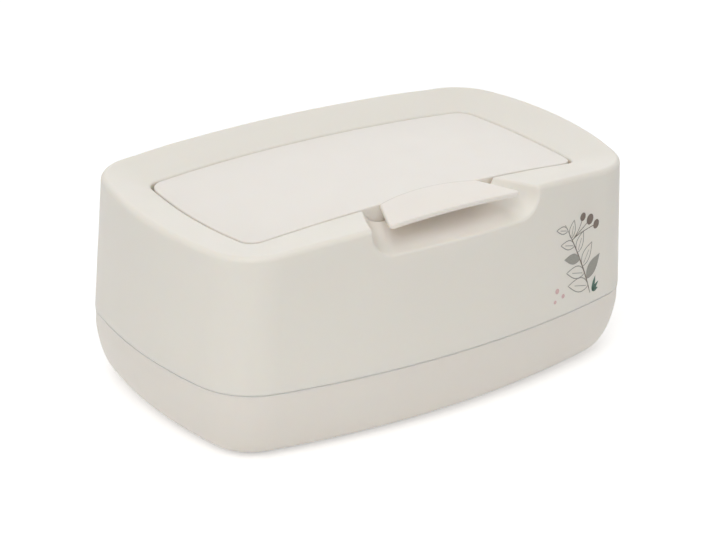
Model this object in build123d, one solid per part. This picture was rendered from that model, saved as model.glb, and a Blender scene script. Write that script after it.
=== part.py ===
from build123d import *
from math import atan2, cos, hypot, pi, sin, sqrt
import os

# A baby wipes box in moulded plastic: a lower tray, a lift-off upper housing and a hinged lid
# that lies in a shallow dish in the housing's top.
# Sizes are in millimetres. X runs along the box, the front faces -Y, Z is up and z = 0 is the
# surface that the feet stand on, under the middle of the box.

# Plan of the box at the seam between tray and housing, its widest level
half_length = 122.5
half_depth = 78.0
side_bow = 436.0
end_bow = 211.0
corner_radius = 30.7

# Plan of the box at its top edge, drawn in from the seam by the walls' taper, and the height
# at which that plan is measured
top_end_taper = 2.3
top_side_taper = 7.0
top_half_length = half_length - top_end_taper
top_half_depth = half_depth - top_side_taper
top_side_bow = 763.0
top_end_bow = 160.0
top_corner_radius = 27.4
top_plan_height = 100.5

# Plan of the lid's parting line, inside a rim with its own width at the ends and the sides
rim_end_width = 25.3
rim_side_width = 23.2
lid_half_length = top_half_length - rim_end_width
lid_half_depth = top_half_depth - rim_side_width
lid_side_bow = 726.0
lid_end_bow = 256.0
lid_corner_radius = 8.0

# Heights along the middle of the top edge and of the lid's edge, and how far each edge has
# fallen at the ends of the box
rim_front_height = 103.25
rim_rear_height = 102.15
rim_middle_rise = 1.7
rim_front_fall = 6.45
rim_rear_fall = 2.05
lid_front_height = 102.5
lid_rear_height = 95.9
lid_middle_rise = -0.3
lid_front_fall = 12.2
lid_rear_fall = 2.7

# Walls and edges
seam_height = 35.5
wall = 2.4
rim_wall = 2.4
floor_wall = 2.4
top_edge_round = 2.3
seam_groove_depth = 0.3
seam_groove_height = 0.5

# Lower tray
foot_stand = 0.8
base_tuck = 16.0
base_power = 2.15
base_levels = 9
tray_rib_height = 1.2
tray_rib_width = 1.8
tray_rib_pitch = 24.0
tray_rib_end_margin = 38.5
tray_rib_half_length = half_length - tray_rib_end_margin
tray_rib_count = 5

# Spigot that the housing drops over, and the seal on top of it
spigot_height = 6.0
spigot_wall = 1.8
spigot_root = 5.0
spigot_clearance = 0.3
body_seal_height = 1.6
body_seal_inset = 0.2
seal_squeeze_gap = 0.15
shoulder_height = 1.6

# Feet
foot_radius = 7.0
foot_height = 2.0
foot_clearance = 0.1
foot_end_margin = 42.5
foot_side_margin = 38.0
foot_x = half_length - foot_end_margin
foot_y = half_depth - foot_side_margin
foot_edge_cut = 0.4

# Well in the housing's top that the lid closes
lid_gap = 0.9
well_corner_radius = 7.0
well_edge_round = 1.2
well_wall = 2.2
ledge_height = 85.5
ledge_wall = 2.2
mouth_end_margin = 22.9
mouth_front_margin = 13.8
mouth_rear_margin = 25.8
mouth_half_length = lid_half_length - mouth_end_margin
mouth_front = mouth_front_margin - lid_half_depth
mouth_rear = lid_half_depth - mouth_rear_margin
mouth_corner = 12.0
coaming_wall = 1.6
coaming_height = 2.7
trough_margin = 4.0
trough_front = mouth_rear + trough_margin
trough_height = 76.0

# Finger recess in the front of the housing
recess_rear_half_width = 37.5
recess_front_half_width = 46.5
recess_front_margin = 2.0
recess_front_y = recess_front_margin - top_half_depth
recess_floor_rear_height = 94.7
recess_floor_front_height = 88.7
recess_corner = 12.0
recess_edge_round = 1.2

# Lid
lid_skin = 2.2
lid_skirt = 1.8
lid_bottom = 88.0
lid_edge_round = 0.5
lid_corner_blunt = 9.5
lid_rib_thickness = 1.2
lid_rib_x = 35.0
lid_rib_clearance = 0.2
post_radius = 2.5
post_end_margin = 2.0
post_front_margin = 4.0
post_x = mouth_half_length - post_end_margin
post_front_y = mouth_front + post_front_margin
post_rear_y = mouth_rear

# Finger tab on the lid's front edge
tab_rise = 0.45
tab_height = lid_front_height + tab_rise
tab_thickness = 2.3
tab_crown = 590.0
tab_rear_half_width = 26.8
tab_front_half_width = 37.2
tab_front_margin = 2.2
tab_front_y = tab_front_margin - top_half_depth
tab_rear_bow = 4.4
tab_front_corner = 2.0
tab_rear_corner = 0.8
tab_edge_round = 0.8

# Lid liner and the seal in its groove
liner_height = 89.6
liner_thickness = 1.8
liner_clearance = 0.4
liner_rear_clearance = 0.5
liner_rear = trough_front - liner_rear_clearance
liner_corner = 5.0
lid_seal_width = 2.8
lid_seal_height = 1.9
lid_seal_groove = 0.8
lid_seal_clearance = 0.1

# Hinge
pivot_margin = 7.0
pivot_y = trough_front + pivot_margin
pivot_height = 91.8
pin_radius = 1.5
pin_clearance = 0.06
hinge_end_margin = 39.9
hinge_x = lid_half_length - hinge_end_margin
lug_thickness = 4.0
lug_radius = 2.9
ear_thickness = 2.4
ear_radius = 2.7
ear_root = 1.6
ear_root_rise = 2.1
hinge_side_clearance = 0.4
relief_clearance = 0.4

# Weighted plate that keeps the wipes flat
plate_clearance = 0.2
plate_margin = 19.0
plate_thickness = 2.6
plate_rim_height = 7.0
plate_rim_wall = 1.8
plate_round = 1.2
slot_half_length = 36.0
slot_half_width = 7.0
slot_lip_wall = 1.6
slot_lip_height = 2.4

# Heights that cutting bodies reach past the box, and how near counts as touching
above = 125.0
below = -5.0
touching = 0.02


class Outline:
    """A plan shape with two bowed sides, two bowed ends and four round corners."""

    def __init__(self, length, depth, side, end, corner):
        self.length = length
        self.depth = depth
        self.side = side
        self.end = end
        self.corner = corner

    def inset(self, distance):
        """The same shape drawn in by a distance, or out by a negative one."""
        return Outline(
            self.length - distance,
            self.depth - distance,
            self.side - distance,
            self.end - distance,
            self.corner - distance,
        )

    def corner_centre(self):
        """Centre of the corner circle that touches the side arc and the end arc from inside."""
        side_y = self.depth - self.side
        end_x = self.length - self.end
        side_reach = self.side - self.corner
        end_reach = self.end - self.corner
        apart = hypot(end_x, side_y)
        along = (side_reach**2 - end_reach**2 + apart**2) / (2 * apart)
        across = sqrt(side_reach**2 - along**2)
        unit_x = end_x / apart
        unit_y = -side_y / apart
        return unit_x * along + unit_y * across, side_y + unit_y * along - unit_x * across

    def arcs(self):
        """The eight arcs counter-clockwise, each as centre x, centre y, radius, start, end."""
        x, y = self.corner_centre()
        side_y = self.depth - self.side
        end_x = self.length - self.end
        turn_end = atan2(y, x - end_x)
        turn_side = atan2(y - side_y, x)
        return [
            (end_x, 0, self.end, -turn_end, turn_end),
            (x, y, self.corner, turn_end, turn_side),
            (0, side_y, self.side, turn_side, pi - turn_side),
            (-x, y, self.corner, pi - turn_side, pi - turn_end),
            (-end_x, 0, self.end, pi - turn_end, pi + turn_end),
            (-x, -y, self.corner, pi + turn_end, pi + turn_side),
            (0, -side_y, self.side, pi + turn_side, 2 * pi - turn_side),
            (x, -y, self.corner, 2 * pi - turn_side, 2 * pi - turn_end),
        ]

    def wire(self, height):
        edges = []
        for x, y, radius, start, end in self.arcs():
            middle = (start + end) / 2
            ends = [(x + radius * cos(t), y + radius * sin(t), height) for t in (start, middle, end)]
            edges.append(ThreePointArc(*ends))
        return Wire([edge for arc in edges for edge in arc.edges()])

    def prism(self, low, high):
        return Solid.extrude(Face(self.wire(low)), Vector(0, 0, high - low))


def point_on(arc, share):
    """Plan point at a share of the way along an arc."""
    x, y, radius, start, end = arc
    turn = start + share * (end - start)
    return x + radius * cos(turn), y + radius * sin(turn)


def crowned(front, rear, middle_rise, front_fall, rear_fall, edge_y):
    """Height over the plan of a surface that is bowed both ways, from heights at its edges."""

    def height(x, y):
        across = y / edge_y
        level = (front + rear) / 2 + (rear - front) / 2 * across + middle_rise * (1 - across**2)
        fall = (front_fall + rear_fall) / 2 + (rear_fall - front_fall) / 2 * across
        return level - fall * (x / half_length) ** 2

    return height


def offset_at(height):
    """How far the tray's wall is drawn in at a height, on a superellipse below the seam."""
    share = (seam_height - height) / (seam_height - foot_stand)
    return base_tuck * (1 - (1 - share**base_power) ** (1 / base_power))


def block(x0, x1, y0, y1, z0, z1):
    return Pos((x0 + x1) / 2, (y0 + y1) / 2, (z0 + z1) / 2) * Box(x1 - x0, y1 - y0, z1 - z0)


def rounded_block(x0, x1, y0, y1, z0, z1, radius):
    plan = Pos((x0 + x1) / 2, (y0 + y1) / 2, z0) * RectangleRounded(x1 - x0, y1 - y0, radius)
    return extrude(plan, z1 - z0)


def rod(x0, x1, y, z, radius):
    """A cylinder along X."""
    return Pos((x0 + x1) / 2, y, z) * Rot(0, 90, 0) * Cylinder(radius, x1 - x0)


seam_plan = Outline(half_length, half_depth, side_bow, end_bow, corner_radius)
top_plan = Outline(top_half_length, top_half_depth, top_side_bow, top_end_bow, top_corner_radius)
parting_plan = Outline(lid_half_length, lid_half_depth, lid_side_bow, lid_end_bow, lid_corner_radius)
well_plan = Outline(
    lid_half_length, lid_half_depth, lid_side_bow, lid_end_bow, well_corner_radius
).inset(-lid_gap / 2)
lid_plan = Outline(
    lid_half_length, lid_half_depth, lid_side_bow, lid_end_bow, lid_corner_blunt
).inset(lid_gap / 2)

rim_height_at = crowned(
    rim_front_height,
    rim_rear_height,
    rim_middle_rise,
    rim_front_fall,
    rim_rear_fall,
    top_half_depth,
)
lid_height_at = crowned(
    lid_front_height,
    lid_rear_height,
    lid_middle_rise,
    lid_front_fall,
    lid_rear_fall,
    lid_half_depth,
)


def housing_plan(height):
    """Plan of the housing's straight walls at any height, through the seam and the top edge."""
    share = (height - seam_height) / (top_plan_height - seam_height)

    def between(low, high):
        return low + share * (high - low)

    return Outline(
        between(half_length, top_half_length),
        between(half_depth, top_half_depth),
        between(side_bow, top_side_bow),
        between(end_bow, top_end_bow),
        between(corner_radius, top_corner_radius),
    )


def top_edge_point(number, share):
    """Point where the housing's wall meets the crowned top edge."""
    height = rim_front_height
    for _ in range(6):
        x, y = point_on(housing_plan(height).arcs()[number], share)
        height = rim_height_at(x, y)
    return x, y, height


def above_rim():
    """Everything above the dished rim, a ruled surface from the lid's edge to the top edge."""
    reach_out = 1.35
    reach_in = -0.06
    samples = 6
    inner = []
    outer = []
    for number, arc in enumerate(parting_plan.arcs()):
        for step in range(samples):
            share = (step + 0.5) / samples
            x, y = point_on(arc, share)
            inner.append(Vector(x, y, lid_height_at(x, y)))
            outer.append(Vector(*top_edge_point(number, share)))
    marks = [0.0]
    for number in range(len(inner)):
        following = (number + 1) % len(inner)
        stride = (inner[following] - inner[number]).length + (outer[following] - outer[number]).length
        marks.append(marks[-1] + stride)
    rails = []
    for reach in (reach_in, reach_out):
        points = [near + (far - near) * reach for near, far in zip(inner, outer)]
        rails.append(Edge.make_spline(points, periodic=True, parameters=marks))
    face = Face.make_surface_from_curves(rails[0], rails[1])
    return Solid.extrude(face, Vector(0, 0, above))


def above_lid():
    """Everything above the lid's crowned surface."""
    rows = []
    for step_y in range(9):
        y = (step_y / 4 - 1) * (lid_half_depth + 6)
        row = []
        for step_x in range(13):
            x = (step_x / 6 - 1) * (lid_half_length + 6)
            row.append((x, y, lid_height_at(x, y)))
        rows.append(row)
    face = Face.make_surface_from_array_of_points(rows, tol=0.002)
    return Solid.extrude(face, Vector(0, 0, above))


def recess_body(grow):
    """The finger recess as a solid, larger all round by a wall thickness for the inside."""
    rear_y = -lid_half_depth
    widen = (recess_front_half_width - recess_rear_half_width) / (rear_y - recess_front_y)
    slope = (recess_floor_rear_height - recess_floor_front_height) / (top_half_depth - lid_half_depth)
    y_in = rear_y + lid_gap
    y_out = -half_depth - 6

    def half_width(y):
        return recess_rear_half_width + widen * (rear_y - y) + grow

    def floor_height(y):
        return recess_floor_rear_height - slope * (rear_y - y) - grow

    plan = Polyline(
        (-half_width(y_in), y_in),
        (-half_width(y_out), y_out),
        (half_width(y_out), y_out),
        (half_width(y_in), y_in),
        close=True,
    )
    side = Polyline(
        (y_in, floor_height(y_in)),
        (y_out, floor_height(y_out)),
        (y_out, above),
        (y_in, above),
        close=True,
    )
    walls = Pos(0, 0, below) * extrude(make_face(plan), above - below)
    reach = half_width(y_out) + 1
    slab = extrude(Plane.YZ * make_face(side), reach, both=True)
    scoop = walls & slab
    lower = [
        edge
        for edge in scoop.edges()
        if edge.center().Z < recess_floor_rear_height + 2 and abs(edge.center().X) > recess_rear_half_width / 2
        and y_out + 1 < edge.center().Y < y_in - 1
    ]
    return fillet(lower, recess_corner + grow)


def well_body(grow):
    """The lid's well with its deeper hinge trough, larger by a wall thickness for the inside."""
    plan = well_plan.inset(-grow)
    body = plan.prism(ledge_height - grow, above)
    trough = plan.prism(trough_height - grow, ledge_height) & block(
        -half_length, half_length, trough_front - grow, half_depth, below, above
    )
    return body + trough


def mouth_body(grow, low, high):
    return rounded_block(
        -mouth_half_length - grow,
        mouth_half_length + grow,
        mouth_front - grow,
        mouth_rear + grow,
        low,
        high,
        mouth_corner + grow,
    )


def housing_walls(inset):
    """The housing's drafted walls as one tall solid, drawn in by a distance."""
    low = housing_plan(seam_height).inset(inset).wire(seam_height)
    high = housing_plan(above).inset(inset).wire(above)
    return Solid.make_loft([low, high], ruled=True)


def wall_slice(inset, low, high):
    """The part of those walls between two heights."""
    return housing_walls(inset) & block(-half_length, half_length, -half_depth, half_depth, low, high)


def spigot_plan(height):
    """Outside of the tray's spigot, which follows the housing's drafted wall with a clearance."""
    return housing_plan(height).inset(wall + spigot_clearance)


def seam_groove():
    """The fine groove that runs round the box where the tray and the housing meet."""
    low = seam_height - seam_groove_height / 2
    high = seam_height + seam_groove_height / 2
    return seam_plan.inset(-2).prism(low, high) - seam_plan.inset(seam_groove_depth).prism(low, high)


def foot_places():
    return {
        "foot_front_left": (-foot_x, -foot_y),
        "foot_front_right": (foot_x, -foot_y),
        "foot_rear_left": (-foot_x, foot_y),
        "foot_rear_right": (foot_x, foot_y),
    }


def make_base_tray():
    """Lower casing: a shell with a tucked-in lower wall, floor ribs, a spigot and foot pockets."""
    levels = []
    for step in range(base_levels + 1):
        turn = step / base_levels * pi / 2
        share = sin(turn) ** (2 / base_power)
        levels.append(seam_height - (seam_height - foot_stand) * share)
    outer = Solid.make_loft([seam_plan.inset(offset_at(z)).wire(z) for z in levels])
    lift = floor_wall / (seam_height - foot_stand)
    inner_wires = []
    for z in levels:
        raised = z + lift * (seam_height - z)
        inner_wires.append(seam_plan.inset(offset_at(z) + wall).wire(raised))
    inner = Solid.make_loft(inner_wires)
    tray = outer - inner

    spigot_top = seam_height + spigot_height
    root_low = seam_height - spigot_root
    band = seam_plan.inset(wall / 2).prism(root_low, seam_height)
    band += wall_slice(wall + spigot_clearance, seam_height, spigot_top)
    tray += band - spigot_plan(spigot_top).inset(spigot_wall).prism(root_low, spigot_top)
    tray -= seam_groove()

    floor_top = foot_stand + floor_wall
    for number in range(tray_rib_count):
        y = (number - (tray_rib_count - 1) / 2) * tray_rib_pitch
        tray += block(
            -tray_rib_half_length,
            tray_rib_half_length,
            y - tray_rib_width / 2,
            y + tray_rib_width / 2,
            floor_top - floor_wall / 2,
            floor_top + tray_rib_height,
        )
    for x, y in foot_places().values():
        depth = foot_height - foot_stand
        tray -= Pos(x, y, foot_stand + depth / 2) * Cylinder(foot_radius + foot_clearance, depth)
    return tray


def make_foot(x, y):
    foot = Cylinder(foot_radius, foot_height, align=(Align.CENTER, Align.CENTER, Align.MIN))
    foot = chamfer(foot.edges().group_by(Axis.Z)[0], foot_edge_cut)
    return Pos(x, y, 0) * foot


def make_body_seal():
    """Soft ring on top of the spigot, under the housing's shoulder."""
    low = seam_height + spigot_height
    high = low + body_seal_height
    ring = wall_slice(wall + spigot_clearance + body_seal_inset, low, high)
    return ring - spigot_plan(high).inset(spigot_wall - body_seal_inset).prism(low, high)


def hinge_sides():
    return {"left": -hinge_x, "right": hinge_x}


def make_ear(x):
    """An arm that leans out from the ledge over the hinge trough, with a round head for a pin."""
    side = Polyline(
        (trough_front - ear_root, ledge_height - ledge_wall / 2),
        (trough_front, ledge_height - ledge_wall),
        (pivot_y, pivot_height - ear_radius),
        (pivot_y, pivot_height),
        (pivot_y - ear_radius * sin(pi / 4), pivot_height + ear_radius * cos(pi / 4)),
        (trough_front - ear_root, ledge_height + ear_root_rise),
        close=True,
    )
    low_x = x - ear_thickness / 2
    arm = Pos(low_x, 0, 0) * extrude(Plane.YZ * make_face(side), ear_thickness)
    return arm + rod(low_x, low_x + ear_thickness, pivot_y, pivot_height, ear_radius)


def ear_places(centre):
    reach = lug_thickness / 2 + hinge_side_clearance + ear_thickness / 2
    return centre - reach, centre + reach


def pin_reach():
    return lug_thickness / 2 + hinge_side_clearance + ear_thickness


def housing_shell(over_rim):
    """Walls and dished rim at even thickness, open below and over the well, with a round top edge."""
    body = housing_walls(0) - over_rim
    top_edges = []
    for edge in body.edges():
        middle = edge.position_at(0.5)
        inside = housing_plan(middle.Z).inset(top_edge_round).prism(below, above)
        if lid_rear_height < middle.Z < above - rim_wall and not inside.is_inside(middle):
            top_edges.append(edge)
    body = fillet(top_edges, top_edge_round)
    room = housing_walls(wall) - Pos(0, 0, -rim_wall) * over_rim
    opening = well_plan.prism(seam_height, above)
    shell = body - room - opening
    well_edges = []
    for edge in shell.edges():
        middle = edge.position_at(0.5)
        upper = middle.Z > lid_height_at(middle.X, middle.Y) - rim_wall / 2
        if upper and opening.distance_to(middle) < touching:
            well_edges.append(edge)
    return fillet(well_edges, well_edge_round)


def lid_deck():
    """The lid's well with its ledge, coaming, hinge trough and the ears that hold the pins."""
    deck = well_body(well_wall) - well_body(0)
    deck += mouth_body(coaming_wall, ledge_height - ledge_wall / 2, ledge_height + coaming_height)
    deck -= mouth_body(0, below, ledge_height + coaming_height)
    for centre in hinge_sides().values():
        for x in ear_places(centre):
            deck += make_ear(x)
        deck -= rod(
            centre - pin_reach(), centre + pin_reach(), pivot_y, pivot_height, pin_radius + pin_clearance
        )
    return deck


def recess_scoop():
    """Wall around the finger recess, outside the well."""
    return recess_body(well_wall) - well_body(0)


def seal_shoulder():
    """Inner shoulder of the housing that comes down on the body seal."""
    low = seam_height + spigot_height + body_seal_height + seal_squeeze_gap
    high = low + shoulder_height
    opening = spigot_plan(seam_height + spigot_height).inset(spigot_wall)
    return housing_plan(low).inset(wall / 2).prism(low, high) - opening.prism(low, high)


def make_upper_housing():
    """Upper casing: drafted bowed walls, a dished rim, the lid's well and the finger recess."""
    over_rim = above_rim()
    core = housing_walls(wall / 2) - Pos(0, 0, -rim_wall / 2) * over_rim
    inner = (lid_deck() + recess_scoop()) & core
    body = housing_shell(over_rim) + (inner + seal_shoulder())
    scoop = recess_body(0)
    body -= scoop + seam_groove()
    mouth_edges = []
    for edge in body.edges():
        middle = edge.position_at(0.5)
        outside = middle.Y < -lid_half_depth - top_edge_round and edge.geom_type != GeomType.LINE
        if outside and middle.Z > seam_height + wall and scoop.distance_to(middle) < touching:
            mouth_edges.append(edge)
    return fillet(mouth_edges, recess_edge_round)


def make_lid_panel():
    """Flip lid: a crowned skin with a skirt, ribs, liner posts, hinge lugs and the finger tab."""
    over_lid = above_lid()
    panel = lid_plan.prism(lid_bottom, above) - over_lid
    level = [edge for edge in panel.edges() if abs(edge.tangent_at(0.5).Z) < 0.5]
    panel = fillet([edge for edge in level if edge.position_at(0.5).Z > lid_bottom + 1], lid_edge_round)
    hollow = lid_plan.inset(lid_skirt).prism(lid_bottom, above) - Pos(0, 0, -lid_skin) * over_lid

    liner_top = liner_height + liner_thickness
    keep = Part()
    for x in (-lid_rib_x, lid_rib_x):
        keep += block(
            x - lid_rib_thickness / 2,
            x + lid_rib_thickness / 2,
            -lid_half_depth,
            liner_rear,
            liner_top + lid_rib_clearance,
            above,
        )
    for x in (-post_x, 0, post_x):
        for y in (post_front_y, post_rear_y):
            keep += Pos(x, y, (liner_top + above) / 2) * Cylinder(post_radius, above - liner_top)
    for centre in hinge_sides().values():
        keep += block(
            centre - lug_thickness / 2,
            centre + lug_thickness / 2,
            pivot_y - lug_radius,
            pivot_y + lug_radius,
            pivot_height,
            above,
        )
        keep += rod(
            centre - lug_thickness / 2, centre + lug_thickness / 2, pivot_y, pivot_height, lug_radius
        )
    panel -= hollow - keep
    for centre in hinge_sides().values():
        panel -= rod(
            centre - pin_reach(), centre + pin_reach(), pivot_y, pivot_height, pin_radius + pin_clearance
        )
        for x in ear_places(centre):
            half = ear_thickness / 2 + hinge_side_clearance
            panel -= rod(x - half, x + half, pivot_y, pivot_height, ear_radius + relief_clearance)
    return panel + make_tab()


def make_tab():
    """The thin crowned tab that a finger lifts, wider at its front than at the lid."""
    rear_y = -lid_half_depth + lid_gap / 2
    rear = ThreePointArc(
        (-tab_rear_half_width, rear_y), (0, rear_y + tab_rear_bow), (tab_rear_half_width, rear_y)
    )
    front = Polyline(
        (tab_rear_half_width, rear_y),
        (tab_front_half_width, tab_front_y),
        (-tab_front_half_width, tab_front_y),
        (-tab_rear_half_width, rear_y),
    )
    plan = make_face(rear.edges() + front.edges())
    corners = plan.vertices().sort_by(Axis.Y)
    plan = fillet(corners[:2], tab_front_corner)
    plan = fillet(plan.vertices().sort_by(Axis.Y)[-2:], tab_rear_corner)
    blank = Pos(0, 0, tab_height - 12) * extrude(plan, 24)

    def under_crown(height):
        round_bar = Pos(0, 0, height - tab_crown) * Rot(90, 0, 0) * Cylinder(tab_crown, 4 * half_depth)
        return round_bar

    tab = blank & (under_crown(tab_height) - under_crown(tab_height - tab_thickness))
    edges = [edge for edge in tab.edges() if abs(edge.tangent_at(0.5).Z) < 0.5]
    return fillet(edges, tab_edge_round)


def seal_ring(grow, low, high):
    """Ring over the coaming, wider on both sides by grow."""
    spare = (lid_seal_width - coaming_wall) / 2
    outer = mouth_body(coaming_wall + spare + grow, low, high)
    return outer - mouth_body(-spare - grow, low, high)


def make_lid_seal():
    high = liner_height + lid_seal_groove
    return seal_ring(0, high - lid_seal_height, high)


def make_lid_liner():
    """Smooth inner panel of the lid, with a groove for the seal."""
    top = liner_height + liner_thickness
    liner = lid_plan.inset(lid_skirt + liner_clearance).prism(liner_height, top)
    liner &= block(-half_length, half_length, -half_depth, liner_rear, liner_height, top)
    rear_corners = liner.edges().filter_by(Axis.Z).group_by(Axis.Y)[-1]
    liner = fillet(rear_corners, liner_corner)
    return liner - seal_ring(lid_seal_clearance, liner_height, liner_height + lid_seal_groove)


def make_hinge_pin(centre):
    return rod(centre - pin_reach(), centre + pin_reach(), pivot_y, pivot_height, pin_radius)


def make_weight_plate():
    """Loose plate with an upturned rim and a slot that the next wipe comes up through."""
    low = foot_stand + floor_wall + tray_rib_height + plate_clearance
    plan = seam_plan.inset(wall + plate_margin)
    plate = plan.prism(low, low + plate_rim_height)
    plate = fillet(plate.edges().group_by(Axis.Z)[0], plate_round)
    plate -= plan.inset(plate_rim_wall).prism(low + plate_thickness, low + plate_rim_height)
    slot = SlotOverall(2 * slot_half_length, 2 * slot_half_width)
    lip = SlotOverall(2 * (slot_half_length + slot_lip_wall), 2 * (slot_half_width + slot_lip_wall))
    plate += Pos(0, 0, low) * extrude(lip, plate_thickness + slot_lip_height)
    return plate - Pos(0, 0, below) * extrude(slot, above)


def make_parts():
    parts = {"base_tray": make_base_tray()}
    for name, (x, y) in foot_places().items():
        parts[name] = make_foot(x, y)
    parts["body_seal"] = make_body_seal()
    parts["upper_housing"] = make_upper_housing()
    parts["lid_panel"] = make_lid_panel()
    parts["lid_liner"] = make_lid_liner()
    parts["lid_seal"] = make_lid_seal()
    for side, centre in hinge_sides().items():
        parts["hinge_pin_" + side] = make_hinge_pin(centre)
    parts["weight_plate"] = make_weight_plate()
    return parts


os.makedirs("parts", exist_ok=True)
for name, shape in make_parts().items():
    export_step(shape, "parts/" + name + ".step")
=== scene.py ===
import math

import bmesh
import bpy
from mathutils import Matrix, Vector
from mathutils.bvhtree import BVHTree


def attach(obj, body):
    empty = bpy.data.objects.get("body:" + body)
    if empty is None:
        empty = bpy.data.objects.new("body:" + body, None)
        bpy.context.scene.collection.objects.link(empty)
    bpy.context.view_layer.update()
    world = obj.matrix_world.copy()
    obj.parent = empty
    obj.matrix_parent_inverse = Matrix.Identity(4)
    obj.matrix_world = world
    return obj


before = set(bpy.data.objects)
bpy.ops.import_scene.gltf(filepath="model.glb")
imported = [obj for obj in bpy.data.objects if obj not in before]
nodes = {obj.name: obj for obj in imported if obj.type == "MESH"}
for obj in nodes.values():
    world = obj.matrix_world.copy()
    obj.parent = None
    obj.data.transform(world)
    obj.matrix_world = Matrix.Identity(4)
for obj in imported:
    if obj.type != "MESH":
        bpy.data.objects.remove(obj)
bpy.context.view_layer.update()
scene = bpy.context.scene
MM = 0.001

# Places on the solids, in the frame's own axes: X to the right, Y to the back, Z up
seam_height = 35.5 * MM
recess_middle = (0.0, -56 * MM, 86 * MM)
recess_reach = (52 * MM, 18 * MM, 18 * MM)
tab_root_y = -47.35 * MM
tab_root_half_width = 26.8 * MM
tab_root_bow = 4.4 * MM


# Colours


def linear(red, green, blue):
    """A colour given as 0 to 255 on screen, as the linear values a shader takes."""

    def one(value):
        value /= 255
        return value / 12.92 if value <= 0.04045 else ((value + 0.055) / 1.055) ** 2.4

    return one(red), one(green), one(blue), 1.0


def scaled(colour, by):
    """A colour made darker or paler by one factor."""
    return tuple(min(1.0, value * by) for value in colour[:3]) + (1.0,)


plain_white = (1.0, 1.0, 1.0, 1.0)
housing_white = linear(245, 239, 229)
tray_white = linear(243, 236, 227)
lid_white = linear(245, 238, 230)
liner_white = linear(236, 233, 227)
plate_grey = linear(222, 221, 218)
seal_grey = linear(214, 213, 209)
foot_grey = linear(150, 149, 146)
steel_dark = linear(168, 168, 166)
steel_bright = linear(205, 205, 203)
# painted light: pales the shade of the seam groove between housing and tray
seam_painted_light = (1.0, 0.965, 0.9, 1.0)
# painted light: lifts the shade inside the finger recess
recess_painted_light = (1.0, 0.93, 0.86, 1.0)
# painted shadow at the root of the finger tab
crease_shade = (0.8, 0.78, 0.75, 1.0)
outline_grey = linear(150, 145, 138)
leaf_grey = linear(152, 150, 142)
stem_brown = linear(120, 106, 96)
leaf_green = linear(72, 104, 90)
dot_pink = linear(212, 180, 178)


# Shader parts


def start_material(name):
    material = bpy.data.materials.new(name)
    material.use_nodes = True
    tree = material.node_tree
    shader = tree.nodes["Principled BSDF"]
    place = tree.nodes.new("ShaderNodeTexCoord")
    return material, tree, shader, place


def noise(tree, place, scale, detail=2.0, roughness=0.5):
    """Noise whose scale is in features per metre."""
    texture = tree.nodes.new("ShaderNodeTexNoise")
    texture.inputs["Scale"].default_value = scale
    texture.inputs["Detail"].default_value = detail
    texture.inputs["Roughness"].default_value = roughness
    tree.links.new(place.outputs["Object"], texture.inputs["Vector"])
    return texture.outputs["Fac"]


def spread(tree, value, low=0.0, high=1.0):
    """Noise values, which lie mostly from 0.3 to 0.7, spread over low to high."""
    spreader = tree.nodes.new("ShaderNodeMapRange")
    spreader.inputs["From Min"].default_value = 0.3
    spreader.inputs["From Max"].default_value = 0.7
    spreader.inputs["To Min"].default_value = low
    spreader.inputs["To Max"].default_value = high
    tree.links.new(value, spreader.inputs["Value"])
    return spreader.outputs["Result"]


def colour_between(tree, factor, first, second):
    mixer = tree.nodes.new("ShaderNodeMix")
    mixer.data_type = "RGBA"
    mixer.inputs["A"].default_value = first
    mixer.inputs["B"].default_value = second
    tree.links.new(factor, mixer.inputs["Factor"])
    return mixer.outputs["Result"]


def soft_edges(tree, radius):
    """Normals that round over a sharp moulded edge."""
    bevel = tree.nodes.new("ShaderNodeBevel")
    bevel.samples = 6
    bevel.inputs["Radius"].default_value = radius
    return bevel.outputs["Normal"]


def bumped(tree, height, strength, distance, normal=None):
    """Normals of a relief whose full height is the distance times the strength."""
    bump = tree.nodes.new("ShaderNodeBump")
    bump.inputs["Strength"].default_value = strength
    bump.inputs["Distance"].default_value = distance
    tree.links.new(height, bump.inputs["Height"])
    if normal is not None:
        tree.links.new(normal, bump.inputs["Normal"])
    return bump.outputs["Normal"]


def calculate(tree, operation, first, second=None):
    """A math node on sockets or numbers."""
    node = tree.nodes.new("ShaderNodeMath")
    node.operation = operation
    for socket, value in zip(node.inputs, (first, second)):
        if isinstance(value, float):
            socket.default_value = value
        elif value is not None:
            tree.links.new(value, socket)
    return node.outputs["Value"]


def nearness(tree, distance, reach, full=0.0):
    """1 where a distance is under full, fading smoothly to 0 at its reach."""
    fade = tree.nodes.new("ShaderNodeMapRange")
    fade.interpolation_type = "SMOOTHSTEP"
    fade.inputs["From Min"].default_value = reach
    fade.inputs["From Max"].default_value = full
    tree.links.new(distance, fade.inputs["Value"])
    return fade.outputs["Result"]


def seen_rays(tree):
    """1 for rays that show a surface to the camera, straight, reflected or through a clear piece."""
    rays = tree.nodes.new("ShaderNodeLightPath").outputs
    straight_or_reflected = calculate(tree, "MAXIMUM", rays["Is Camera Ray"], rays["Is Glossy Ray"])
    return calculate(tree, "MAXIMUM", straight_or_reflected, rays["Is Transmission Ray"])


# Painted light and shade laid over a finished material


def place_parts(material):
    """Sockets with the X, Y and Z of the place in the object's own frame."""
    tree = material.node_tree
    place = tree.nodes.new("ShaderNodeTexCoord")
    apart = tree.nodes.new("ShaderNodeSeparateXYZ")
    tree.links.new(place.outputs["Object"], apart.inputs["Vector"])
    return apart.outputs


def tone(material, factor, colour, blend):
    """Blends a colour into a material's own where a factor says."""
    tree = material.node_tree
    base = tree.nodes["Principled BSDF"].inputs["Base Color"]
    mixer = tree.nodes.new("ShaderNodeMix")
    mixer.data_type = "RGBA"
    mixer.blend_type = blend
    mixer.inputs["B"].default_value = colour
    tree.links.new(factor, mixer.inputs["Factor"])
    tree.links.new(base.links[0].from_socket, mixer.inputs["A"])
    tree.links.new(mixer.outputs["Result"], base)


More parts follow.
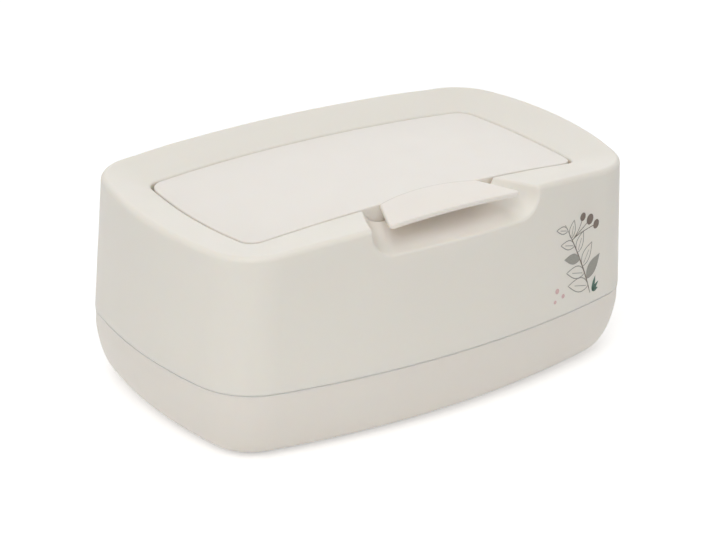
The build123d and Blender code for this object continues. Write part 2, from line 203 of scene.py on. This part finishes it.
def add_painted_arc_shadow(material, centre, radius, half_length, width, colour):
    """A faint painted shadow line along an arc as seen from above."""
    tree = material.node_tree
    place = place_parts(material)
    across = calculate(tree, "SUBTRACT", place["X"], centre[0])
    along = calculate(tree, "SUBTRACT", place["Y"], centre[1])
    across_squared = calculate(tree, "MULTIPLY", across, across)
    along_squared = calculate(tree, "MULTIPLY", along, along)
    squares = calculate(tree, "ADD", across_squared, along_squared)
    from_centre = calculate(tree, "SQRT", squares)
    off_arc = calculate(tree, "ABSOLUTE", calculate(tree, "SUBTRACT", from_centre, radius))
    within = calculate(tree, "LESS_THAN", calculate(tree, "ABSOLUTE", across), half_length)
    on_line = calculate(tree, "MULTIPLY", nearness(tree, off_arc, width / 2), within)
    tone(material, on_line, colour, "MULTIPLY")


def add_painted_seam_light(material, height, reach, colour):
    """A narrow paler band at a height, where two mouldings meet: painted light over the shade of
    their seam groove.
    """
    tree = material.node_tree
    above = calculate(tree, "SUBTRACT", place_parts(material)["Z"], height)
    off_height = calculate(tree, "ABSOLUTE", above)
    tone(material, nearness(tree, off_height, reach), colour, "MIX")


def add_painted_hollow_light(material, middle, reach, colour):
    """Painted light: a paler, warmer tone about the middle of a hollow that lifts its shade, fading
    out at its reach along each axis.
    """
    full_share = 0.6
    tree = material.node_tree
    place = tree.nodes.new("ShaderNodeTexCoord")
    offset = tree.nodes.new("ShaderNodeMapping")
    offset.vector_type = "TEXTURE"
    offset.inputs["Location"].default_value = middle
    offset.inputs["Scale"].default_value = reach
    tree.links.new(place.outputs["Object"], offset.inputs["Vector"])
    length = tree.nodes.new("ShaderNodeVectorMath")
    length.operation = "LENGTH"
    tree.links.new(offset.outputs["Vector"], length.inputs[0])
    tone(material, nearness(tree, length.outputs["Value"], 1.0, full_share), colour, "MIX")


# Materials


def moulded_plastic(name, colour, rough=0.42, grain=0.12, edge=0.5 * MM):
    """Satin plastic: a fine spark-eroded grain, a slow waviness, faint colour and gloss changes."""
    material, tree, shader, place = start_material(name)
    cloud = spread(tree, noise(tree, place, scale=14, detail=2))
    base = colour_between(tree, cloud, scaled(colour, 0.985), colour)
    tree.links.new(base, shader.inputs["Base Color"])
    patches = noise(tree, place, scale=90, detail=4, roughness=0.6)
    tree.links.new(spread(tree, patches, rough - 0.04, rough + 0.05), shader.inputs["Roughness"])
    waves = bumped(
        tree,
        noise(tree, place, scale=22, detail=1),
        strength=0.06,
        distance=0.6 * MM,
        normal=soft_edges(tree, edge),
    )
    fine = bumped(
        tree,
        noise(tree, place, scale=1900, detail=3, roughness=0.6),
        strength=grain,
        distance=0.05 * MM,
        normal=waves,
    )
    tree.links.new(fine, shader.inputs["Normal"])
    shader.inputs["IOR"].default_value = 1.47
    shader.inputs["Subsurface Weight"].default_value = 0.3
    shader.inputs["Subsurface Radius"].default_value = (1.0, 0.72, 0.5)
    shader.inputs["Subsurface Scale"].default_value = 4 * MM
    return material


def soft_rubber(name, colour):
    """Moulded rubber: dull, with a powdery grain."""
    material, tree, shader, place = start_material(name)
    dust = spread(tree, noise(tree, place, scale=420, detail=5, roughness=0.7))
    base = colour_between(tree, dust, scaled(colour, 0.9), scaled(colour, 1.08))
    tree.links.new(base, shader.inputs["Base Color"])
    patches = noise(tree, place, scale=160, detail=3)
    tree.links.new(spread(tree, patches, 0.62, 0.8), shader.inputs["Roughness"])
    grain = bumped(
        tree,
        noise(tree, place, scale=2400, detail=3),
        strength=0.25,
        distance=0.05 * MM,
        normal=soft_edges(tree, 0.3 * MM),
    )
    tree.links.new(grain, shader.inputs["Normal"])
    return material


def drawn_steel(name, dark, bright):
    """Drawn wire: fine streaks along X and a little dulling."""
    streaks_per_metre = 5200
    streak_stretch = (0.05, 1.0, 1.0)
    material, tree, shader, place = start_material(name)
    stretch = tree.nodes.new("ShaderNodeMapping")
    stretch.inputs["Scale"].default_value = streak_stretch
    tree.links.new(place.outputs["Object"], stretch.inputs["Vector"])
    texture = tree.nodes.new("ShaderNodeTexNoise")
    texture.inputs["Scale"].default_value = streaks_per_metre
    tree.links.new(stretch.outputs["Vector"], texture.inputs["Vector"])
    streaks = spread(tree, texture.outputs["Fac"])
    tree.links.new(colour_between(tree, streaks, dark, bright), shader.inputs["Base Color"])
    tree.links.new(spread(tree, texture.outputs["Fac"], 0.22, 0.4), shader.inputs["Roughness"])
    relief = bumped(tree, streaks, strength=0.15, distance=0.02 * MM)
    tree.links.new(relief, shader.inputs["Normal"])
    shader.inputs["Metallic"].default_value = 1.0
    return material


def printed_ink(name, colour):
    """Pad-printed ink: slightly uneven cover with a fine grain."""
    material, tree, shader, place = start_material(name)
    cover = spread(tree, noise(tree, place, scale=1500, detail=4, roughness=0.7))
    base = colour_between(tree, cover, colour, scaled(colour, 1.25))
    tree.links.new(base, shader.inputs["Base Color"])
    patches = noise(tree, place, scale=500, detail=3)
    tree.links.new(spread(tree, patches, 0.45, 0.6), shader.inputs["Roughness"])
    grain = bumped(tree, noise(tree, place, scale=2600, detail=2), strength=0.12, distance=0.02 * MM)
    tree.links.new(grain, shader.inputs["Normal"])
    return material


def floor_paper(name):
    """Pale studio paper, lifted to white where it is seen, so that only the shadow shows on it."""
    lift = 0.4
    material, tree, shader, place = start_material(name)
    cloud = spread(tree, noise(tree, place, scale=3))
    base = colour_between(tree, cloud, (0.93, 0.93, 0.93, 1), (0.94, 0.94, 0.94, 1))
    tree.links.new(base, shader.inputs["Base Color"])
    shader.inputs["Roughness"].default_value = 0.9
    shader.inputs["Emission Color"].default_value = plain_white
    seen_lift = calculate(tree, "MULTIPLY", seen_rays(tree), lift)
    tree.links.new(seen_lift, shader.inputs["Emission Strength"])
    return material


# The solids take their materials


def dress(material, *names):
    for name in names:
        materials = nodes[name].data.materials
        materials.clear()
        materials.append(material)


def add_painted_tab_root_shadow(material):
    """Painted shadow along the line where the finger tab meets the lid, just inside the tab's bowed
    rear edge.
    """
    inset = 0.7 * MM
    edge_radius = (tab_root_half_width**2 + tab_root_bow**2) / (2 * tab_root_bow)
    centre = (0.0, tab_root_y + tab_root_bow - edge_radius)
    add_painted_arc_shadow(
        material,
        centre,
        edge_radius - inset,
        tab_root_half_width,
        width=1.3 * MM,
        colour=crease_shade,
    )


housing_plastic = moulded_plastic("housing_plastic", housing_white, edge=0.8 * MM)
tray_plastic = moulded_plastic("tray_plastic", tray_white)
lid_plastic = moulded_plastic("lid_plastic", lid_white, rough=0.4)
for plastic in (housing_plastic, tray_plastic):
    # painted light along the seam, paling the shade in its groove
    add_painted_seam_light(plastic, seam_height, 0.7 * MM, seam_painted_light)
# painted light in the finger recess, lifting the shade under the tab
add_painted_hollow_light(housing_plastic, recess_middle, recess_reach, recess_painted_light)
# painted shadow line at the finger tab's root
add_painted_tab_root_shadow(lid_plastic)

dress(housing_plastic, "upper_housing")
dress(tray_plastic, "base_tray")
dress(lid_plastic, "lid_panel")
dress(moulded_plastic("liner_plastic", liner_white, rough=0.34, grain=0.06), "lid_liner")
dress(moulded_plastic("plate_plastic", plate_grey, rough=0.5, grain=0.2), "weight_plate")
dress(soft_rubber("seal_rubber", seal_grey), "body_seal", "lid_seal")
dress(
    soft_rubber("foot_rubber", foot_grey),
    "foot_front_left",
    "foot_front_right",
    "foot_rear_left",
    "foot_rear_right",
)
dress(drawn_steel("pin_steel", steel_dark, steel_bright), "hinge_pin_left", "hinge_pin_right")


# The print on the right of the front wall: a plain leafy branch, drawn on a flat sheet in
# millimetres, x to the right and y up from the print's middle, and laid on the wall along
# the print's own facing direction
print_middle = Vector((71.5, -71.0, 61.5)) * MM
print_facing = Vector((0.17, -0.985, 0.0)).normalized()
print_across = (-print_facing).cross(Vector((0.0, 0.0, 1.0)))
print_lift = 0.06 * MM
start_off_wall = 30 * MM
housing_mesh = nodes["upper_housing"].data
housing_surface = BVHTree.FromPolygons(
    [vertex.co for vertex in housing_mesh.vertices],
    [polygon.vertices for polygon in housing_mesh.polygons],
)


def lay_on_wall(x, y):
    """The place on the wall under a point of the drawing."""
    on_sheet = print_middle + print_across * (x * MM) + Vector((0, 0, y * MM))
    off_wall = on_sheet + print_facing * start_off_wall
    place = housing_surface.ray_cast(off_wall, -print_facing)[0]
    return place + print_facing * print_lift


class Drawing:
    """Flat shapes of one ink, gathered into one mesh on the wall."""

    def __init__(self, name, colour, ink_name):
        self.name = name
        self.ink = printed_ink(ink_name, colour)
        self.mesh = bmesh.new()

    def quad_strip(self, left, right, closed=False):
        """Faces between two rows of points."""
        rows = [
            (self.mesh.verts.new(lay_on_wall(*a)), self.mesh.verts.new(lay_on_wall(*b)))
            for a, b in zip(left, right)
        ]
        following = rows[1:] + rows[:1] if closed else rows[1:]
        for (a, b), (c, d) in zip(rows, following):
            self.mesh.faces.new((a, b, d, c))

    def line(self, points, width, closed=False, taper=False):
        """A stroke along points, thinner towards both ends where it tapers."""
        thinnest = 0.25
        left = []
        right = []
        last = len(points) - 1
        for number, (x, y) in enumerate(points):
            if closed:
                before = points[number - 1]
                after = points[(number + 1) % len(points)]
            else:
                before = points[max(number - 1, 0)]
                after = points[min(number + 1, last)]
            run = math.hypot(after[0] - before[0], after[1] - before[1])
            half = width / 2
            if taper:
                half *= max(thinnest, math.sin(math.pi * (0.15 + 0.8 * number / last)))
            side_x = -(after[1] - before[1]) / run * half
            side_y = (after[0] - before[0]) / run * half
            left.append((x + side_x, y + side_y))
            right.append((x - side_x, y - side_y))
        self.quad_strip(left, right, closed)

    def fill(self, points):
        """A filled shape, in rings about its middle so that it follows the wall."""
        middle_x = sum(x for x, _ in points) / len(points)
        middle_y = sum(y for _, y in points) / len(points)
        rings = []
        for share in (1.0, 0.66, 0.33):
            ring = []
            for x, y in points:
                ring.append((middle_x + (x - middle_x) * share, middle_y + (y - middle_y) * share))
            rings.append(ring)
        for outer, inner in zip(rings, rings[1:]):
            self.quad_strip(outer, inner, closed=True)
        hub = self.mesh.verts.new(lay_on_wall(middle_x, middle_y))
        rim = [self.mesh.verts.new(lay_on_wall(*point)) for point in rings[-1]]
        for first, second in zip(rim, rim[1:] + rim[:1]):
            self.mesh.faces.new((first, second, hub))

    def finish(self):
        """Joins the shapes, turns their faces outwards and lets the piece ride on the housing."""
        one_point = 1e-6
        bmesh.ops.remove_doubles(self.mesh, verts=self.mesh.verts, dist=one_point)
        for face in self.mesh.faces:
            face.normal_update()
            if face.normal.dot(print_facing) < 0:
                face.normal_flip()
        mesh = bpy.data.meshes.new(self.name)
        self.mesh.to_mesh(mesh)
        self.mesh.free()
        for polygon in mesh.polygons:
            polygon.use_smooth = True
        mesh.materials.append(self.ink)
        piece = bpy.data.objects.new(self.name, mesh)
        scene.collection.objects.link(piece)
        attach(piece, "housing")


def leaf(x, y, length, width, turn, bend=0.0):
    """Outline of a pointed leaf that starts at a point and leans by turn degrees from upright."""
    steps = 14
    widest_early = 0.8
    angle = math.radians(turn)
    points = []
    for side in (1, -1):
        for step in range(steps):
            share = step / steps if side == 1 else 1 - step / steps
            half = side * width / 2 * math.sin(math.pi * share**widest_early)
            along = share * length
            across = half + bend * length * share * (1 - share)
            point_x = x + along * math.sin(angle) + across * math.cos(angle)
            point_y = y + along * math.cos(angle) - across * math.sin(angle)
            points.append((point_x, point_y))
    return points


def oval(x, y, half_width, half_height, turn=0.0):
    """Outline of an oval, turned clockwise by turn degrees."""
    steps = 18
    angle = math.radians(turn)
    points = []
    for step in range(steps):
        around = 2 * math.pi * step / steps
        across = half_width * math.cos(around)
        up = half_height * math.sin(around)
        point_x = x + across * math.cos(angle) + up * math.sin(angle)
        point_y = y + up * math.cos(angle) - across * math.sin(angle)
        points.append((point_x, point_y))
    return points


def curve(start, middle, end, steps=14):
    """Points of a quadratic curve."""
    points = []
    for step in range(steps + 1):
        t = step / steps
        weights = ((1 - t) ** 2, 2 * t * (1 - t), t**2)
        x = sum(weight * point[0] for weight, point in zip(weights, (start, middle, end)))
        y = sum(weight * point[1] for weight, point in zip(weights, (start, middle, end)))
        points.append((x, y))
    return points


def vein(x, y, length, turn):
    """The middle line of a leaf, short of both its ends."""
    angle = math.radians(turn)
    points = []
    for share in (0.12, 0.3, 0.5, 0.68):
        points.append((x + length * share * math.sin(angle), y + length * share * math.cos(angle)))
    return points


# The branch's sizes, in millimetres and degrees
stem = curve((10.5, -20.5), (5.0, -4.0), (-7.5, 18.0), steps=40)
stem_width = 0.7
leaf_count = 9
first_leaf_step = 5
steps_between_leaves = 4
solid_leaves = (1, 4)
lowest_leaf_length = 15.0
leaf_shortening = 0.9
leaf_width_share = 0.46
leaf_bend = 0.12
lowest_leaf_spread = 62
lowest_stem_lean = 14
turn_change = 2.5
outline_width = 0.42
vein_width = 0.3
berries = ((9.5, 16.5, 2.3), (14.0, 13.0, 2.0), (4.5, 19.0, 1.8))
berry_height_share = 1.15
berry_turn = 25
stalk_start_step = 32
stalk_bow = (2.0, 12.0)
stalk_width = 0.35
green_leaf_foot = (12.0, -20.0)
green_leaf_width = 2.0
green_leaves = ((18, 7.5), (52, 6.0), (84, 4.5))
dots = ((-13.0, -13.0, 1.3), (-9.0, -16.5, 1.1), (-14.5, -18.0, 0.9))


def draw_leaves():
    """Leaves to both sides of the stem by turns, two of them filled and the rest outlined."""
    outlined = Drawing("print_leaf_outlines", outline_grey, "grey_line_ink")
    filled = Drawing("print_grey_leaves", leaf_grey, "grey_fill_ink")
    for number in range(leaf_count):
        x, y = stem[first_leaf_step + steps_between_leaves * number]
        side = -1 if number % 2 == 0 else 1
        leaf_spread = lowest_leaf_spread - turn_change * number
        turn = side * leaf_spread - lowest_stem_lean - turn_change * number
        length = lowest_leaf_length - leaf_shortening * number
        shape = leaf(x, y, length, leaf_width_share * length, turn, -leaf_bend * side)
        if number in solid_leaves:
            filled.fill(shape)
        else:
            outlined.line(shape, outline_width, closed=True)
            outlined.line(vein(x, y, length, turn), vein_width)
    outlined.finish()
    filled.finish()


def draw_stem_and_berries():
    brown = Drawing("print_stem", stem_brown, "brown_ink")
    brown.line(stem, stem_width, taper=True)
    for x, y, size in berries:
        brown.line(curve(stem[stalk_start_step], stalk_bow, (x, y)), stalk_width)
        brown.fill(oval(x, y, size, berry_height_share * size, berry_turn))
    brown.finish()


def draw_green_leaves():
    green = Drawing("print_green_leaves", leaf_green, "green_ink")
    for turn, length in green_leaves:
        green.fill(leaf(*green_leaf_foot, length, green_leaf_width, turn))
    green.finish()


def draw_dots():
    pink = Drawing("print_pink_dots", dot_pink, "pink_ink")
    for x, y, size in dots:
        pink.fill(oval(x, y, size, size))
    pink.finish()


draw_leaves()
draw_stem_and_berries()
draw_green_leaves()
draw_dots()


# Floor: a round sheet that ends where its light is still as white as the background
floor_radius = 1.0
floor_sides = 96
floor_mesh = bpy.data.meshes.new("floor")
floor_shape = bmesh.new()
bmesh.ops.create_circle(
    floor_shape, cap_ends=True, cap_tris=True, segments=floor_sides, radius=floor_radius
)
floor_shape.to_mesh(floor_mesh)
floor_shape.free()
floor_mesh.materials.append(floor_paper("floor_paper"))
floor = bpy.data.objects.new("floor", floor_mesh)
scene.collection.objects.link(floor)


# World: even light, and plain white where it is seen
def background(tree, colour, strength):
    node = tree.nodes.new("ShaderNodeBackground")
    node.inputs["Color"].default_value = colour
    node.inputs["Strength"].default_value = strength
    return node.outputs["Background"]


def light_world():
    light_colour = (1.0, 0.99, 0.975, 1)
    light_strength = 0.38
    world = bpy.data.worlds.new("studio")
    scene.world = world
    world.use_nodes = True
    tree = world.node_tree
    tree.nodes.clear()
    choose = tree.nodes.new("ShaderNodeMixShader")
    tree.links.new(seen_rays(tree), choose.inputs[0])
    tree.links.new(background(tree, light_colour, light_strength), choose.inputs[1])
    tree.links.new(background(tree, plain_white, 1.0), choose.inputs[2])
    output = tree.nodes.new("ShaderNodeOutputWorld")
    tree.links.new(choose.outputs["Shader"], output.inputs["Surface"])


light_world()


# Lamps: three square soft boxes of one size that face the object
lamp_width = 1.2
lamp_aim = Vector((0, 0, 0.06))


def lamp(name, place, power):
    light = bpy.data.lights.new(name, "AREA")
    light.size = lamp_width
    light.energy = power
    holder = bpy.data.objects.new(name, light)
    holder.location = place
    holder.rotation_mode = "QUATERNION"
    holder.rotation_quaternion = (Vector(place) - lamp_aim).to_track_quat("Z", "Y")
    scene.collection.objects.link(holder)


lamp("key_light", (-0.9, -0.8, 1.3), power=10.5)
lamp("top_light", (0.0, 0.0, 1.7), power=5.0)
lamp("rear_light", (1.05, 1.35, 0.75), power=3.0)


# Camera, placed by a fit of the box's outline, seam and lid to the photograph
azimuth = math.radians(-36.263)
elevation = math.radians(24.636)
roll = 0.028
distance = 1.07263
aim = Vector((-0.011178, 0.0, 0.041131))
picture_width = 716
picture_height = 540
focal_pixels = 2278.54
middle_pixel = (342.369, 284.192)
sensor_width = 36

back = Vector(
    (
        math.sin(azimuth) * math.cos(elevation),
        -math.cos(azimuth) * math.cos(elevation),
        math.sin(elevation),
    )
)
level_right = Vector((math.cos(azimuth), math.sin(azimuth), 0))
level_up = back.cross(level_right)
right = level_right * math.cos(roll) + level_up * math.sin(roll)
up = -level_right * math.sin(roll) + level_up * math.cos(roll)

camera_data = bpy.data.cameras.new("camera")
camera_data.sensor_width = sensor_width
camera_data.lens = focal_pixels * sensor_width / picture_width
camera_data.shift_x = (picture_width / 2 - middle_pixel[0]) / picture_width
camera_data.shift_y = (middle_pixel[1] - picture_height / 2) / picture_width
camera_data.clip_start = 0.01
camera_data.clip_end = 50
camera = bpy.data.objects.new("camera", camera_data)
camera.rotation_mode = "QUATERNION"
camera.rotation_quaternion = Matrix((right, up, back)).transposed().to_quaternion()
camera.location = aim + back * distance
scene.collection.objects.link(camera)
scene.camera = camera

scene.view_settings.view_transform = "Standard"
